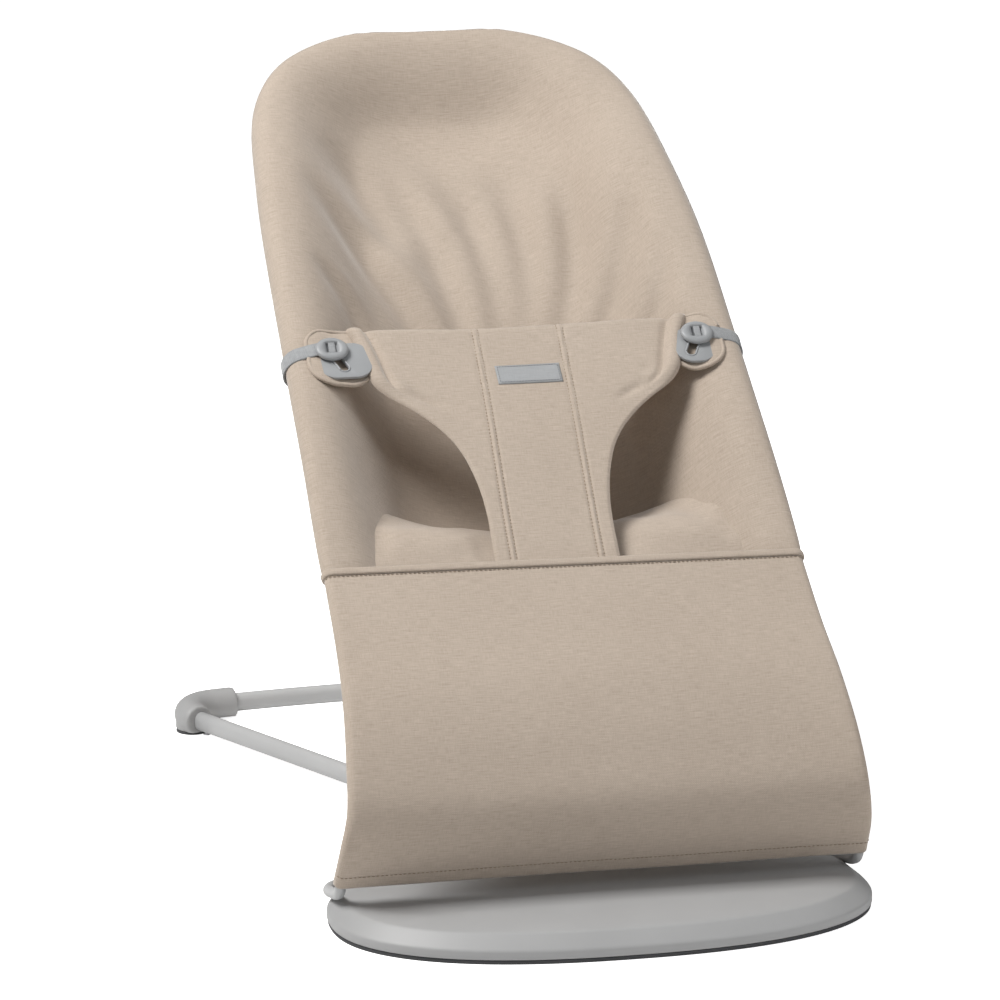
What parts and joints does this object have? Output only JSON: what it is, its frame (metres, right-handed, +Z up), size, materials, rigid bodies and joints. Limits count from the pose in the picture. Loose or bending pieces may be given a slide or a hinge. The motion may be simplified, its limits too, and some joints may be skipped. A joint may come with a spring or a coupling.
{
  "type": "bouncer seat",
  "caption": "Baby bouncer seat: padded fabric bucket on a sprung wire frame hinged on an oval foot plate, with a buttoned T-shaped harness bib and a tube base frame.",
  "frame": {"origin": "on the floor under the oval foot plate, on the seat's middle line and 95 mm behind the plate's front edge", "axes": "+X to the left hand of a child in the seat, +Y to the rear, +Z up"},
  "size_m": [0.443, 0.7059, 0.5409],
  "materials": {
    "beige_cloth": "heathered woven cotton, matt",
    "grey_webbing": "flat woven tape",
    "grey_plastic": "fine moulded texture",
    "button_plastic": "satin moulded",
    "painted_steel": "light grey powder coat",
    "dark_rubber": "matt non-slip",
    "spring_steel": "bright",
    "zinc_steel": "zinc plated"
  },
  "bodies": {
    "base": {"foot_plate": "grey_plastic", "foot_plate_base": "grey_plastic", "sole_ring": "dark_rubber", "plate_screw_1": "zinc_steel", "plate_screw_2": "zinc_steel", "plate_screw_3": "zinc_steel", "plate_screw_4": "zinc_steel", "axle_saddle_left": "grey_plastic", "axle_saddle_right": "grey_plastic", "detent_leaf_left": "spring_steel", "detent_leaf_right": "spring_steel", "leaf_screw_left": "zinc_steel", "leaf_screw_right": "zinc_steel", "frame_socket": "grey_plastic", "rail_left": "painted_steel", "rail_right": "painted_steel", "rear_crossbar": "painted_steel", "corner_left": "grey_plastic", "corner_right": "grey_plastic", "corner_sole_left": "dark_rubber", "corner_sole_right": "dark_rubber", "corner_screw_left": "zinc_steel", "corner_screw_right": "zinc_steel"},
    "lower_frame": {"lower_wire": "painted_steel", "detent_hub_left": "grey_plastic", "detent_hub_right": "grey_plastic"},
    "seat": {"side_wire_left": "painted_steel", "side_wire_right": "painted_steel", "wire_sleeve_left": "spring_steel", "wire_sleeve_right": "spring_steel", "back_hoop": "painted_steel", "leg_panel": "beige_cloth", "hem_binding": "beige_cloth", "seat_pad": "beige_cloth", "back_pad": "beige_cloth", "rear_cover": "beige_cloth", "press_stud_1": "button_plastic", "press_stud_2": "button_plastic", "press_stud_3": "button_plastic", "harness_bib": "beige_cloth", "woven_label": "grey_webbing", "bib_flap_left": "beige_cloth", "bib_flap_right": "beige_cloth", "keyhole_plate_left": "button_plastic", "keyhole_plate_right": "button_plastic", "strap_left": "grey_webbing", "strap_right": "grey_webbing"},
    "button_left": {"button_left": "button_plastic"},
    "button_right": {"button_right": "button_plastic"}
  },
  "joints": [
    {"name": "recline", "type": "hinge", "parent": "base", "child": "lower_frame", "pos_m": [0, 0.085, 0.0105], "axis": [1, 0, 0], "range_deg": [-38, 0]},
    {"name": "bounce", "type": "hinge", "parent": "lower_frame", "child": "seat", "pos_m": [0, 0.009, 0.035], "axis": [1, 0, 0], "range_deg": [-3, 3], "stiffness_Nm_per_rad": 450, "springref_deg": 0.52},
    {"name": "button_slide_left", "type": "slide", "parent": "seat", "child": "button_left", "axis": [0.4067, -0.7428, -0.5318], "range_m": [0, 0.017]},
    {"name": "button_slide_right", "type": "slide", "parent": "seat", "child": "button_right", "axis": [-0.4067, -0.7428, -0.5318], "range_m": [0, 0.017]}
  ]
}
